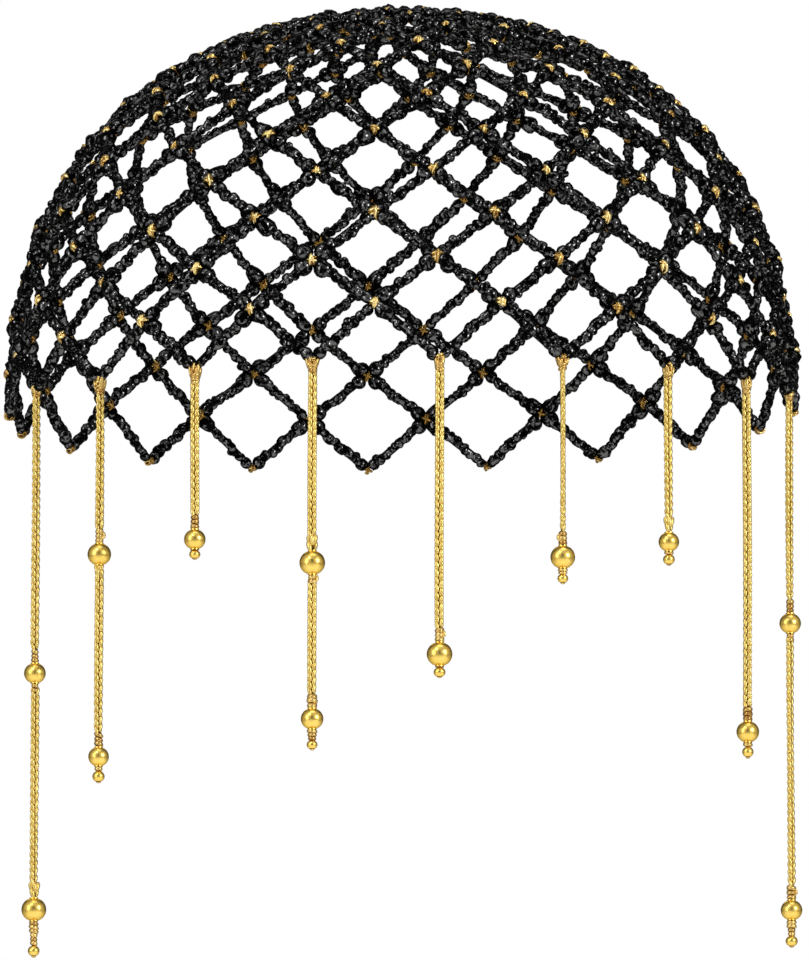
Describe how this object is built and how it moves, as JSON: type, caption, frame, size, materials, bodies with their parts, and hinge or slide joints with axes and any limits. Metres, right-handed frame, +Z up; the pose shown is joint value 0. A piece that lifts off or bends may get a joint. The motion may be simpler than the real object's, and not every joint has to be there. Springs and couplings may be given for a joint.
{
  "type": "beaded head chain",
  "caption": "Open net cap of strung black glass beads tied with gold thread, with a front fringe of gold chains that carry polished balls.",
  "frame": {"origin": "inside top of the crown, at the middle of the crown ring, where the cap sits on a head", "axes": "+Z up, the front with the chains faces -Y, +X to the viewer's right"},
  "size_m": [0.1864, 0.1881, 0.2255],
  "materials": {
    "black_glass": "opaque black pressed glass beads, glossy",
    "gold_thread": "gold metallic thread, wrapped and knotted",
    "gold_chain": "bright gold-coloured plaited chain",
    "polished_gold": "mirror-polished gold-coloured metal"
  },
  "bodies": {
    "root": {"crown_ring": "black_glass", "upper_net": "black_glass", "lower_net": "black_glass", "hanger_1": "gold_thread", "hanger_2": "gold_thread", "hanger_3": "gold_thread", "hanger_4": "gold_thread", "hanger_5": "gold_thread", "hanger_6": "gold_thread", "hanger_7": "gold_thread", "hanger_8": "gold_thread", "hanger_9": "gold_thread", "chain_1": "gold_chain", "chain_2": "gold_chain", "chain_3": "gold_chain", "chain_4": "gold_chain", "chain_5": "gold_chain", "chain_6": "gold_chain", "chain_7": "gold_chain", "chain_8": "gold_chain", "chain_9": "gold_chain", "upper_ball_1": "polished_gold", "upper_ball_2": "polished_gold", "upper_ball_4": "polished_gold", "upper_ball_9": "polished_gold", "lower_ball_1": "polished_gold", "lower_ball_2": "polished_gold", "lower_ball_3": "polished_gold", "lower_ball_4": "polished_gold", "lower_ball_5": "polished_gold", "lower_ball_6": "polished_gold", "lower_ball_7": "polished_gold", "lower_ball_8": "polished_gold", "lower_ball_9": "polished_gold", "end_bead_1": "polished_gold", "end_bead_2": "polished_gold", "end_bead_3": "polished_gold", "end_bead_4": "polished_gold", "end_bead_5": "polished_gold", "end_bead_6": "polished_gold", "end_bead_7": "polished_gold", "end_bead_8": "polished_gold", "end_bead_9": "polished_gold"}
  },
  "joints": []
}
